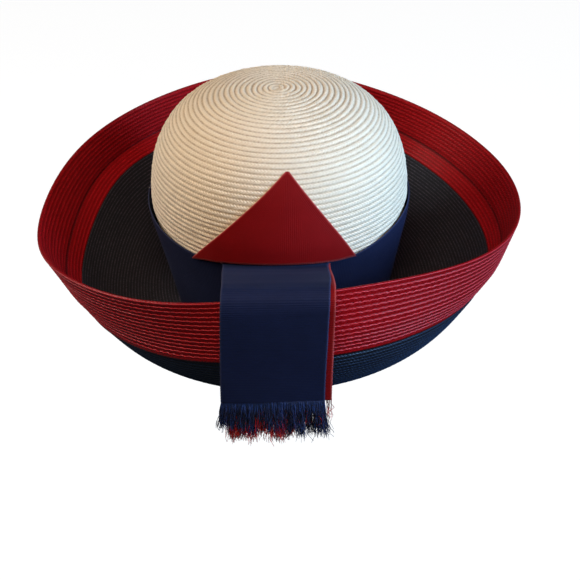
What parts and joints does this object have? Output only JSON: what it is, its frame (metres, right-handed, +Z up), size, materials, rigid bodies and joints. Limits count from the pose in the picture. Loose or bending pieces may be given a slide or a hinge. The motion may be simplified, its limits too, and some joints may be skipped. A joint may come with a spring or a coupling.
{
  "type": "upturned-brim straw hat",
  "caption": "Straw hat with a domed ivory crown, a deep turned-up navy and red brim, a ribbon band, a folded ribbon point and fringed ribbon tails over the front.",
  "frame": {"origin": "centre of the head opening, level with the line where the crown meets the brim", "axes": "+Z up through the crown's tip, -Y towards the hat's front, where the ribbon tails hang"},
  "size_m": [0.3348, 0.3454, 0.1576],
  "materials": {
    "ivory_straw": "sewn straw braid, soft sheen",
    "navy_straw": "sewn straw braid, glossy",
    "red_straw": "sewn straw braid, glossy",
    "navy_ribbon": "ribbed grosgrain ribbon",
    "red_ribbon": "ribbed grosgrain ribbon"
  },
  "bodies": {
    "root": {"crown": "ivory_straw", "brim_floor": "navy_straw", "brim_border": "red_straw", "crown_band": "navy_ribbon", "ribbon_point": "red_ribbon", "tail_navy": "navy_ribbon", "tail_red": "red_ribbon", "fringe_navy": "navy_ribbon", "fringe_red": "red_ribbon"}
  },
  "joints": []
}
